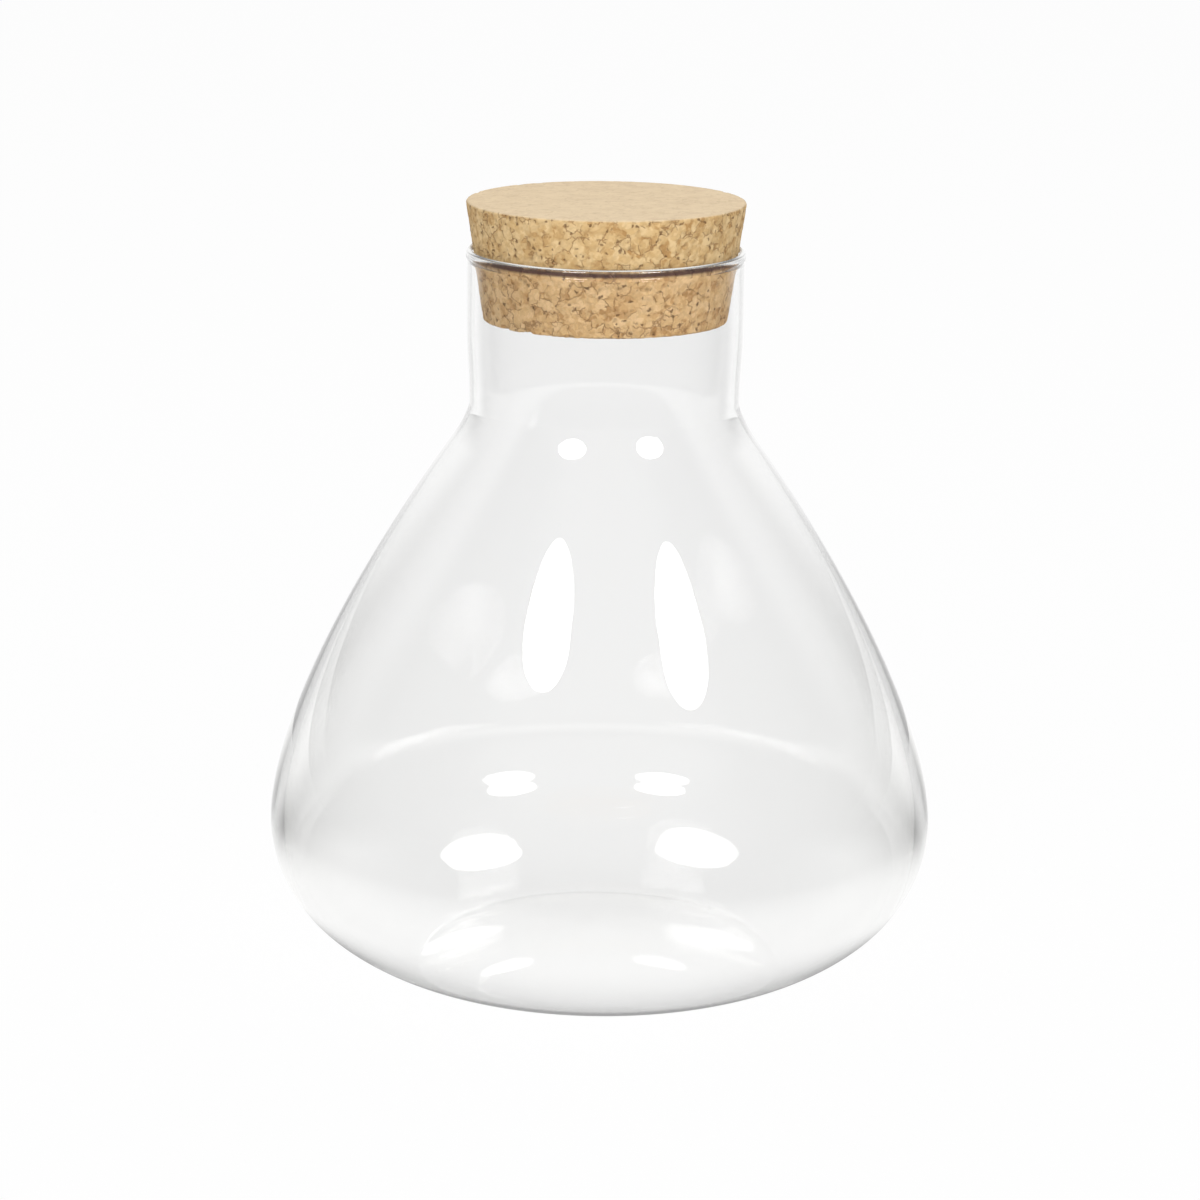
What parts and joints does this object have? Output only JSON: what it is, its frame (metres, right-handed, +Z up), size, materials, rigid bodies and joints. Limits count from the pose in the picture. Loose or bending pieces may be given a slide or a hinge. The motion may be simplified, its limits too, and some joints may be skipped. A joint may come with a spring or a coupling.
{
  "type": "glass jar with cork lid",
  "caption": "Flask-shaped clear glass storage jar with a rounded belly, a wide neck and a tapered cork stopper that lifts out.",
  "frame": {"origin": "centre of the standing ring, on the surface that the jar stands on", "axes": "+Z up, along the common axis of the jar and the cork; the part is round, so X and Y are free, and the picture looks along +Y"},
  "size_m": [0.2056, 0.2056, 0.24],
  "materials": {
    "clear_glass": "clear, smooth, fire-polished",
    "cork": "matt pressed cork granules"
  },
  "bodies": {
    "jar": {"glass_jar": "clear_glass"},
    "lid": {"cork_lid": "cork"}
  },
  "joints": [
    {"name": "lid_lift", "type": "slide", "parent": "jar", "child": "lid", "axis": [0, 0, 1], "range_m": [0, 0.11]}
  ]
}
